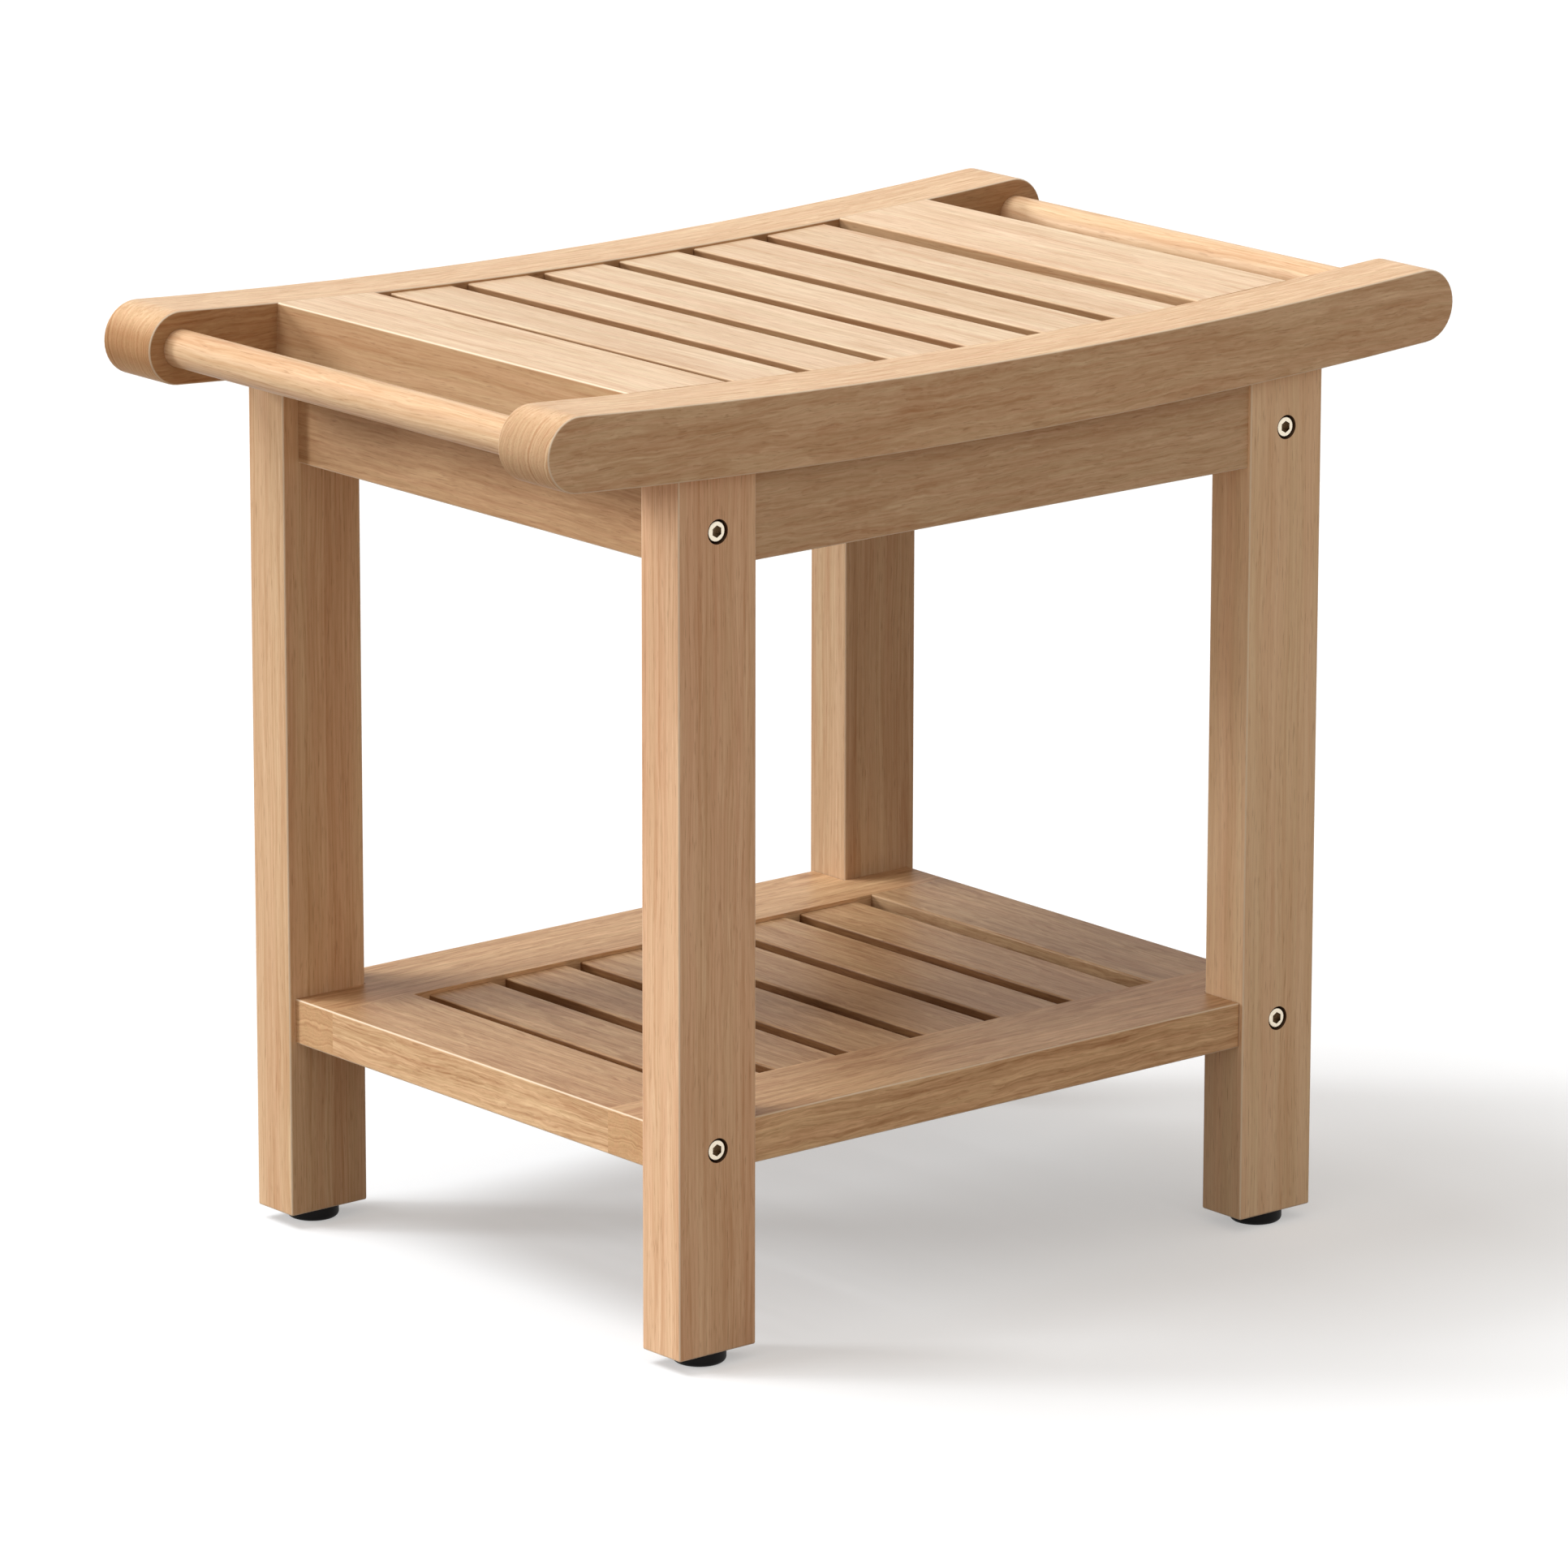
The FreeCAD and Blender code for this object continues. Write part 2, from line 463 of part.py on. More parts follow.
def make_long_apron(label, end):
    """Long apron whose upper edge follows the rail's underside; its own origin is the rails' arc centre."""
    body = new_body(label)
    sketch = new_sketch(body, f"{label}_face", "XZ_Plane")
    radius = "(Dims.rail_radius + Dims.rail_deep + Dims.fit_gap)"
    low = f"({APRON_LOW} - {ARC_CENTRE})"
    half_x, low_z = number(LEG_INNER_X), number(low)
    top_z = number(f"-sqrt({radius}^2 - {LEG_INNER_X}^2)")
    corners = [FreeCAD.Vector(x, z, 0) for x, z in
               ((-half_x, top_z), (-half_x, low_z), (half_x, low_z), (half_x, top_z))]
    for first, second in zip(corners, corners[1:]):
        sketch.addGeometry(Part.LineSegment(first, second))
    down, lean = -math.pi / 2, math.atan2(half_x, -top_z)
    top = arc(sketch, FreeCAD.Vector(), number(radius), down - lean, down + lean)
    sketch.addConstraint(Sketcher.Constraint("Coincident", 0, 2, 1, 1))
    sketch.addConstraint(Sketcher.Constraint("Coincident", 1, 2, 2, 1))
    sketch.addConstraint(Sketcher.Constraint("Coincident", 2, 2, top, 2))
    sketch.addConstraint(Sketcher.Constraint("Coincident", 0, 1, top, 1))
    sketch.addConstraint(Sketcher.Constraint("Coincident", top, 3, -1, 1))
    index = sketch.addConstraint(Sketcher.Constraint("Radius", top, number(radius)))
    sketch.setExpression(f"Constraints[{index}]", radius)
    tie(sketch, "DistanceX", 0, 1, f"-{LEG_INNER_X}")
    for line, x in ((1, f"-{LEG_INNER_X}"), (2, LEG_INNER_X)):
        tie(sketch, "DistanceX", line, 1, x)
        tie(sketch, "DistanceY", line, 1, low)
    tie(sketch, "DistanceX", top, 2, LEG_INNER_X)
    board = pad(body, sketch, "Dims.apron_thick", "Symmetric")
    ease_edges(body, board, runs_along(X_AXIS))
    tenon = new_sketch(body, f"{label}_tenon", "XZ_Plane")
    reach = f"({LEG_INNER_X} + Dims.apron_tenon_long)"
    tenon_low = f"({low} + Dims.apron_tenon_rise)"
    rectangle(tenon, f"-{reach}", reach, tenon_low, f"{tenon_low} + Dims.apron_tenon_tall")
    pad(body, tenon, "Dims.apron_tenon_thick", "Symmetric")
    place(body, "0", f"{end} * {APRON_Y}", ARC_CENTRE)
    return body


def bolt_and_nut_holes(body, bolt_x, bolt_z, end_y, nut_y, nut_start, nut_along, nut_deep, bolt_deep):
    """Bolt hole and cross hole for a barrel nut at both ends of a board that runs along Y."""
    bolt_hole = drill(body, "bolt_hole", (bolt_x, end_y, bolt_z), -Y_AXIS, BOLT_HOLE, bolt_deep)
    mirror(body, bolt_hole, "XZ_Plane")
    nut_hole = drill(body, "nut_hole", (nut_start[0], nut_y, nut_start[1]), nut_along, NUT_HOLE, nut_deep)
    mirror(body, nut_hole, "XZ_Plane")


def make_side_apron(label, side):
    """Short apron bolted between two legs; drawn for the right end and turned round for the left."""
    body = new_body(label)
    section = new_sketch(body, f"{label}_section", "XZ_Plane")
    rectangle(section, "-Dims.side_apron_thick / 2", "Dims.side_apron_thick / 2", "0",
              f"{SIDE_APRON_TOP} - {APRON_LOW}")
    board = pad(body, section, f"2 * {LEG_INNER_Y}", "Symmetric")
    ease_edges(body, board, runs_along(Y_AXIS))
    bolt_x = f"({LEG_X} - {SIDE_APRON_X})"
    bolt_and_nut_holes(
        body, bolt_x, "Dims.upper_bolt_rise", LEG_INNER_Y, f"{LEG_INNER_Y} - Dims.upper_nut_set_back",
        ("-Dims.side_apron_thick / 2", "Dims.upper_bolt_rise"), X_AXIS,
        f"{bolt_x} + Dims.side_apron_thick / 2 + Dims.upper_nut_long / 2",
        "Dims.upper_nut_set_back + Dims.bolt_tail + Dims.end_gap")
    place(body, f"{side} * {SIDE_APRON_X}", "0", APRON_LOW, Z_AXIS, 0 if side > 0 else 180)
    return body


def make_shelf_board(label, end):
    """Long shelf board notched round two legs; its inner edge lies on its own XZ plane."""
    body = new_body(label)
    outline = new_sketch(body, f"{label}_outline", "XY_Plane")
    notch = f"({LEG_INNER_X} - Dims.shelf_leg_gap)"
    polygon(outline, [
        (f"-{SHELF_END}", "0"), (f"-{SHELF_END}", f"-{SHELF_SHOULDER}"),
        (f"-{notch}", f"-{SHELF_SHOULDER}"), (f"-{notch}", "-Dims.shelf_board_wide"),
        (notch, "-Dims.shelf_board_wide"), (notch, f"-{SHELF_SHOULDER}"),
        (SHELF_END, f"-{SHELF_SHOULDER}"), (SHELF_END, "0"),
    ])
    board = pad(body, outline, "Dims.shelf_thick")
    along_x, along_y = runs_along(X_AXIS), runs_along(Y_AXIS)
    front = -number("Dims.shelf_board_wide")
    end_x = number(SHELF_END)

    def shows(edge):
        at = edge.CenterOfMass
        on_front = along_x(edge) and abs(at.y - front) < 1e-6
        on_end = along_y(edge) and abs(abs(at.x) - end_x) < 1e-6
        return on_front or on_end

    ease_edges(body, board, shows)
    deep = "(Dims.shelf_tenon_long + Dims.end_gap)"
    tall = "(Dims.shelf_tenon_thick + 2 * Dims.fit_gap)"
    slat_half = "(Dims.shelf_slat_wide / 2 - Dims.tenon_shoulder + Dims.fit_gap)"
    slat_mid = "(Dims.shelf_thick - Dims.shelf_slat_drop - Dims.shelf_slat_thick / 2)"
    first = cut_box(body, "slat_mortise",
                    (f"-{SHELF_PITCH} * (Dims.slat_count - 1) / 2 - {slat_half}", f"-{deep}",
                     f"{slat_mid} - {tall} / 2"),
                    (f"2 * {slat_half}", deep, tall))
    row = body.newObject("PartDesign::LinearPattern", f"{label}_slat_mortises")
    row.Originals = [first]
    row.Direction = (origin_part(body, "X_Axis"), [""])
    row.setExpression("Length", f"{SHELF_PITCH} * (Dims.slat_count - 1)")
    row.setExpression("Occurrences", "Dims.slat_count")
    body.Tip = row
    doc.recompute()
    end_half = f"({SHELF_END_WIDE} / 2 - Dims.tenon_shoulder + Dims.fit_gap)"
    end_board = cut_box(body, "end_mortise",
                        (f"{SHELF_END_X} - {end_half}", f"-{deep}", f"Dims.shelf_thick / 2 - {tall} / 2"),
                        (f"2 * {end_half}", deep, tall))
    mirror(body, end_board, "YZ_Plane")
    bolt_hole = drill(body, "bolt_hole", (LEG_X, "0", "Dims.shelf_thick / 2"), -Y_AXIS, BOLT_HOLE,
                      SHELF_SHOULDER)
    mirror(body, bolt_hole, "YZ_Plane")
    place(body, "0", f"{end} * {SHELF_INNER}", SHELF_LOW, Z_AXIS, 0 if end < 0 else 180)
    return body


def shelf_cross_board(label, wide, thick):
    """Shelf board along Y with a tenon at each end; its own Z starts at its underside."""
    body = new_body(label)
    section = new_sketch(body, f"{label}_section", "XZ_Plane")
    rectangle(section, f"-{wide} / 2", f"{wide} / 2", "0", thick)
    board = pad(body, section, f"2 * {SHELF_INNER}", "Symmetric")
    ease_edges(body, board, runs_along(Y_AXIS))
    tenon = new_sketch(body, f"{label}_tenon", "XZ_Plane")
    half = f"({wide} / 2 - Dims.tenon_shoulder)"
    rectangle(tenon, f"-{half}", half, f"{thick} / 2 - Dims.shelf_tenon_thick / 2",
              f"{thick} / 2 + Dims.shelf_tenon_thick / 2")
    pad(body, tenon, f"2 * ({SHELF_INNER} + Dims.shelf_tenon_long)", "Symmetric")
    return body


def make_shelf_slat(label, pitches):
    body = shelf_cross_board(label, "Dims.shelf_slat_wide", "Dims.shelf_slat_thick")
    place(body, f"{pitches} * {SHELF_PITCH}", "0",
          "Dims.shelf_height - Dims.shelf_slat_drop - Dims.shelf_slat_thick")
    return body


def make_shelf_end_board(label, side):
    """Shelf end board with its bolt and barrel nut holes; drawn for the right end."""
    body = shelf_cross_board(label, SHELF_END_WIDE, "Dims.shelf_thick")
    bolt_x = f"({LEG_X} - {SHELF_END_X})"
    bolt_and_nut_holes(
        body, bolt_x, "Dims.shelf_thick / 2", f"{SHELF_INNER} + Dims.shelf_tenon_long",
        f"{SHELF_INNER} - Dims.lower_nut_set_back", (bolt_x, "0"), Z_AXIS,
        "Dims.shelf_thick / 2 + Dims.lower_nut_long / 2",
        "Dims.shelf_tenon_long + Dims.lower_nut_set_back + Dims.bolt_tail + Dims.end_gap")
    place(body, f"{side} * {SHELF_END_X}", "0", SHELF_LOW, Z_AXIS, 0 if side > 0 else 180)
    return body


def make_bolt(label, long, x, y, z, end):
    """Socket head bolt; its own Z points out of the head and its bearing face is at zero."""
    body = new_body(label)
    profile = new_sketch(body, f"{label}_profile", "XZ_Plane")
    shank, head = "Dims.bolt_diameter / 2", "Dims.bolt_head_diameter / 2"
    polygon(profile, [("0", f"-{long}"), (shank, f"-{long}"), (shank, "0"), (head, "0"),
                      (head, "Dims.bolt_head_tall"), ("0", "Dims.bolt_head_tall")])
    blank = turn(body, profile)
    top = number("Dims.bolt_head_tall")
    ease_edges(body, blank, lambda edge: edge.BoundBox.ZMin > top - 1e-6, "Dims.bolt_head_round")
    socket = new_sketch(body, f"{label}_socket", "XY_Plane", "Dims.bolt_head_tall")
    corner = "(Dims.hex_across / sqrt(3))"
    polygon(socket, [(f"{corner} * cos({60 * k + 30} deg)", f"{corner} * sin({60 * k + 30} deg)")
                     for k in range(6)])
    pocket(body, socket, "Dims.hex_deep")
    place(body, x, y, z, X_AXIS * -end, 90)
    return body


def make_barrel_nut(label, long, x, y, z, axis, angle):
    """Barrel nut with a cross hole for its bolt and a screwdriver slot; its own Z is its axis."""
    body = new_body(label)
    section = new_sketch(body, f"{label}_section", "XY_Plane")
    radius = "Dims.nut_diameter / 2"
    circle = section.addGeometry(Part.Circle(FreeCAD.Vector(), Z_AXIS, number(radius)))
    section.addConstraint(Sketcher.Constraint("Coincident", circle, 3, -1, 1))
    index = section.addConstraint(Sketcher.Constraint("Radius", circle, number(radius)))
    section.setExpression(f"Constraints[{index}]", radius)
    pad(body, section, long, "Symmetric")
    drill(body, "thread", ("0", "Dims.nut_diameter", "0"), -Y_AXIS,
          "Dims.bolt_diameter / 2 + Dims.running_gap", "2 * Dims.nut_diameter")
    cut_box(body, "slot",
            ("-Dims.nut_diameter", "-Dims.nut_slot_wide / 2", f"-{long} / 2"),
            ("2 * Dims.nut_diameter", "Dims.nut_slot_wide", "Dims.nut_slot_deep"))
    place(body, x, y, z, axis, angle)
    return body


def make_dowel(label, x, y):
    dowel = doc.addObject("Part::Cylinder", label)
    dowel.setExpression("Radius", "Dims.dowel_diameter / 2")
    dowel.setExpression("Height", "Dims.dowel_long")
    place(dowel, x, y, f"{LEG_TOP} + Dims.dowel_rise - Dims.dowel_long")
    return dowel


def make_insert(label, x, y):
    """Threaded insert in a leg's lower end, drawn as a plain sleeve."""
    body = new_body(label)
    profile = new_sketch(body, f"{label}_profile", "XZ_Plane")
    rectangle(profile, "Dims.stem_diameter / 2 + Dims.running_gap", "Dims.insert_diameter / 2", "0",
              "Dims.insert_long")
    turn(body, profile)
    place(body, x, y, "Dims.foot_height")
    return body


def make_foot_pad(label, x, y):
    """Round foot pad, hollowed for the stem's flange, with a rounded lower edge."""
    body = new_body(label)
    profile = new_sketch(body, f"{label}_profile", "XZ_Plane")
    rim, neck = "Dims.foot_diameter / 2", "(Dims.stem_diameter / 2 + Dims.running_gap)"
    room, ceiling = "(Dims.flange_diameter / 2 + Dims.running_gap)", f"({FLANGE_TOP} + Dims.fit_gap)"
    polygon(profile, [("0", "0"), (rim, "0"), (rim, "Dims.foot_height"), (neck, "Dims.foot_height"),
                      (neck, ceiling), (room, ceiling), (room, "Dims.foot_sole"), ("0", "Dims.foot_sole")])
    blank = turn(body, profile)
    ease_edges(body, blank, lambda edge: edge.BoundBox.ZMax < 1e-6, "Dims.foot_round")
    place(body, x, y)
    return body


def make_foot_stem(label, x, y):
    """Stem that turns in the pad and screws into the leg's insert, drawn without its thread."""
    body = new_body(label)
    profile = new_sketch(body, f"{label}_profile", "XZ_Plane")
    shank, flange = "Dims.stem_diameter / 2", "Dims.flange_diameter / 2"
    top = "(Dims.foot_height + Dims.stem_long)"
    polygon(profile, [("0", "Dims.foot_sole"), (flange, "Dims.foot_sole"), (flange, FLANGE_TOP),
                      (shank, FLANGE_TOP), (shank, top), ("0", top)])
    turn(body, profile)
    place(body, x, y)
    return body


def group(label, members):
    """Identical fasteners as one node of separate solids."""
    compound = doc.addObject("Part::Compound", label)
    compound.Label = label
    compound.Links = members
    return compound


def corner_places():
    """Name, sides and place of each leg's axis."""
    for end_name, end in ENDS.items():
        for side_name, side in SIDES.items():
            yield f"{end_name}_{side_name}", side, end, f"{side} * {LEG_X}", f"{end} * {LEG_Y}"


nodes = []
for end_name, end in ENDS.items():
    nodes.append(make_rail(f"rail_{end_name}", end))
    nodes.append(make_long_apron(f"apron_{end_name}", end))
    nodes.append(make_shelf_board(f"shelf_board_{end_name}", end))
for side_name, side in SIDES.items():
    nodes.append(make_seat_board(f"seat_end_board_{side_name}", side, END_BOARD_X,
                                 "Dims.end_board_wide", "Dims.end_board_thick", "0"))
    nodes.append(make_rod(f"handle_rod_{side_name}", side))
    nodes.append(make_side_apron(f"apron_{side_name}", side))
    nodes.append(make_shelf_end_board(f"shelf_end_board_{side_name}", side))
for index in range(int(sheet.slat_count)):
    pitches = slat_centre(index)
    side = 1 if pitches > 0 else -1
    nodes.append(make_seat_board(f"seat_slat_{index + 1}", side, f"{abs(pitches)} * {SLAT_PITCH}",
                                 "Dims.slat_wide", "Dims.slat_thick", "Dims.slat_drop"))
    nodes.append(make_shelf_slat(f"shelf_slat_{index + 1}", pitches))

bolts = {"upper": [], "lower": []}
nuts = {"upper": [], "lower": []}
dowels, inserts = [], []
for name, side, end, x, y in corner_places():
    nodes.append(make_leg(f"leg_{name}", side, end))
    nodes.append(make_foot_pad(f"foot_pad_{name}", x, y))
    nodes.append(make_foot_stem(f"foot_stem_{name}", x, y))
    inserts.append(make_insert(f"insert_{name}", x, y))
    for reach in (-1, 1):
        dowels.append(make_dowel(f"dowel_{name}_{len(dowels)}",
                                 f"{x} + {reach} * Dims.dowel_spacing / 2", f"{end} * {DOWEL_Y}"))
    seat_y = f"{end} * {BOLT_SEAT_Y}"
    bolts["upper"].append(make_bolt(f"upper_bolt_{name}", UPPER_BOLT_LONG, x, seat_y, UPPER_BOLT_Z, end))
    bolts["lower"].append(make_bolt(f"lower_bolt_{name}", LOWER_BOLT_LONG, x, seat_y, LOWER_BOLT_Z, end))
    nuts["upper"].append(make_barrel_nut(
        f"upper_nut_{name}", "Dims.upper_nut_long", x, f"{end} * ({LEG_INNER_Y} - Dims.upper_nut_set_back)",
        UPPER_BOLT_Z, Y_AXIS * side, 90))
    nuts["lower"].append(make_barrel_nut(
        f"lower_nut_{name}", "Dims.lower_nut_long", x, f"{end} * ({SHELF_INNER} - Dims.lower_nut_set_back)",
        LOWER_BOLT_Z, Z_AXIS, 0))
for level in ("upper", "lower"):
    nodes.append(group(f"{level}_bolts", bolts[level]))
    nodes.append(group(f"{level}_barrel_nuts", nuts[level]))
nodes.append(group("leg_dowels", dowels))
nodes.append(group("foot_inserts", inserts))
doc.recompute()

for thing in doc.Objects:
    if "Invalid" in thing.State or "Error" in thing.State:
        raise RuntimeError(f"{thing.Label} did not recompute: {thing.State}")
for node in nodes:
    if node.Shape.isNull() or not node.Shape.isValid() or not node.Shape.Solids:
        raise RuntimeError(f"{node.Label} has no valid solid")

os.makedirs("parts", exist_ok=True)
for node in nodes:
    node.Shape.exportStep(f"parts/{node.Label}.step")
    box = node.Shape.BoundBox
    print(f"{node.Label}: {len(node.Shape.Solids)} solid, {node.Shape.Volume:.0f} mm3, "
          f"x {box.XMin:.2f} to {box.XMax:.2f}, y {box.YMin:.2f} to {box.YMax:.2f}, "
          f"z {box.ZMin:.2f} to {box.ZMax:.2f}")
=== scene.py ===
import math

import bmesh
import bpy
from mathutils import Euler, Matrix, Vector


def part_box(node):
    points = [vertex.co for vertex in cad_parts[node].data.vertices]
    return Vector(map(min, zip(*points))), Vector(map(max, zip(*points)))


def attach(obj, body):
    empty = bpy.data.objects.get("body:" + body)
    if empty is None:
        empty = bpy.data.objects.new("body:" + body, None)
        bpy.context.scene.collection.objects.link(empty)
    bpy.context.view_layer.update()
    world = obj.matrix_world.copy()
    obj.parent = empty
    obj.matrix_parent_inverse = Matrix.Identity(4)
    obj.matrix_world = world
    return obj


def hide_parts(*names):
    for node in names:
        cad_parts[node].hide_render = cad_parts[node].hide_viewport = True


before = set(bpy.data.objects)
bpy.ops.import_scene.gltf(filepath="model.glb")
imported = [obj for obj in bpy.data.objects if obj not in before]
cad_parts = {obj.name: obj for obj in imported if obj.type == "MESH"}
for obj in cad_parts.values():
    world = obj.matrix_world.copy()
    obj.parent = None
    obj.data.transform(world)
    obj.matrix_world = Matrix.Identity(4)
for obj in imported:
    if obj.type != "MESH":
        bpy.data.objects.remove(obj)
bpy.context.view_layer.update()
scene = bpy.context.scene
scene.view_settings.view_transform = "Standard"

MM = 0.001


def linear(hex_colour, shade=1.0):
    """sRGB hex to the linear colour that a shader socket takes, times a shade."""
    channels = [int(hex_colour[i:i + 2], 16) / 255 for i in (1, 3, 5)]
    straight = [c / 12.92 if c <= 0.04045 else ((c + 0.055) / 1.055) ** 2.4 for c in channels]
    return [shade * c for c in straight] + [1.0]


def add(tree, kind, **given):
    """Adds a node. A given name is a property, an input, or i and the number of an input.

    An input takes a value or the output of another node."""
    node = tree.nodes.new(kind)
    for name, value in given.items():
        if name in node.bl_rna.properties:
            setattr(node, name, value)
            continue
        numbered = name[0] == "i" and name[1:].isdigit()
        socket = node.inputs[int(name[1:]) if numbered else name.replace("_", " ")]
        if isinstance(value, bpy.types.NodeSocket):
            tree.links.new(value, socket)
        else:
            socket.default_value = value
    return node


def maths(tree, operation, *operands):
    """One step of arithmetic on numbers."""
    inputs = {f"i{k}": operand for k, operand in enumerate(operands)}
    return add(tree, "ShaderNodeMath", operation=operation, **inputs).outputs[0]


def vectors(tree, operation, *operands):
    """One step of arithmetic on vectors; a length or a dot product comes out as a number."""
    inputs = {f"i{k}": operand for k, operand in enumerate(operands)}
    outputs = add(tree, "ShaderNodeVectorMath", operation=operation, **inputs).outputs
    return outputs["Value" if operation in ("LENGTH", "DOT_PRODUCT") else "Vector"]


def spread(tree, value, low, high, start=0.0, end=1.0, smooth=False):
    """Maps a value between start and end onto the range from low to high, and holds it beyond."""
    return add(tree, "ShaderNodeMapRange", interpolation_type="SMOOTHSTEP" if smooth else "LINEAR",
               Value=value, From_Min=start, From_Max=end, To_Min=low, To_Max=high).outputs[0]


def mix(tree, share, first, second, blend="MIX"):
    """Mixes a second colour into a first one by a share."""
    return add(tree, "ShaderNodeMix", data_type="RGBA", blend_type=blend,
               i0=share, i6=first, i7=second).outputs[2]


def ramp(tree, share, first, second):
    """The colour at a share of the way from one colour to another."""
    node = add(tree, "ShaderNodeValToRGB", Fac=share)
    node.color_ramp.elements[0].color = first
    node.color_ramp.elements[1].color = second
    return node.outputs[0]


def new_material(name):
    material = bpy.data.materials.new(name)
    material.use_nodes = True
    tree = material.node_tree
    tree.nodes.clear()
    return material, tree


def finish_material(tree, shader):
    add(tree, "ShaderNodeOutputMaterial", Surface=shader.outputs[0])


# Widths of the bolts' heads, sockets and recesses.
BOLT_HEAD, BOLT_SOCKET, BOLT_RECESS = 9.8 * MM, 5.0 * MM, 11.4 * MM


def near_bolt(tree, level, reach):
    """1 within a reach of the axis of a bolt of this level, and 0 elsewhere; the axes run along Y."""
    low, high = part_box(f"{level}_bolts")
    axis = (high.x - BOLT_HEAD / 2, 0, (low.z + high.z) / 2)
    place = add(tree, "ShaderNodeTexCoord").outputs["Object"]
    from_axis = vectors(tree, "SUBTRACT", vectors(tree, "ABSOLUTE", place), axis)
    radius = vectors(tree, "LENGTH", vectors(tree, "MULTIPLY", from_axis, (1, 0, 1)))
    return maths(tree, "LESS_THAN", radius, reach)


# Teak, planed, sanded and lightly oiled: pale tan with soft bands and fine wavy streaks along the
# grain, darker ring lines where it is cut across, rounded edges paled partly by sanding wear and
# partly as a painted highlight, and a faint satin shine.
# Grain runs along the mapped Z axis: each turn below brings a piece's length onto it.
GRAIN_TURN = {"x": (0, -math.pi / 2, 0), "y": (math.pi / 2, 0, 0), "z": (0, 0, 0)}
# Lengths in mm; a seed shifts a piece's cut along the grain by so many steps.
SEED_STEP = 137.0
RING_GAP = 1.5
PORE_WIDE, PORE_LONG = 0.6, 11
ROSE, OLIVE = (1.025, 0.985, 0.965, 1), (0.99, 0.99, 0.95, 1)
PORE_BROWN = linear("#a58464")
PLAIN = (1, 1, 1, 1)
# Paled rounded edges: partly sanding wear, partly a painted highlight.
SANDED_AND_HIGHLIGHT, SANDED_AND_HIGHLIGHT_SHARE = (0.93, 0.80, 0.62, 1), 0.75
# Painted shade for the walls of the bolts' recesses.
RECESS_PAINTED_SHADE = (0.10, 0.07, 0.05, 1)


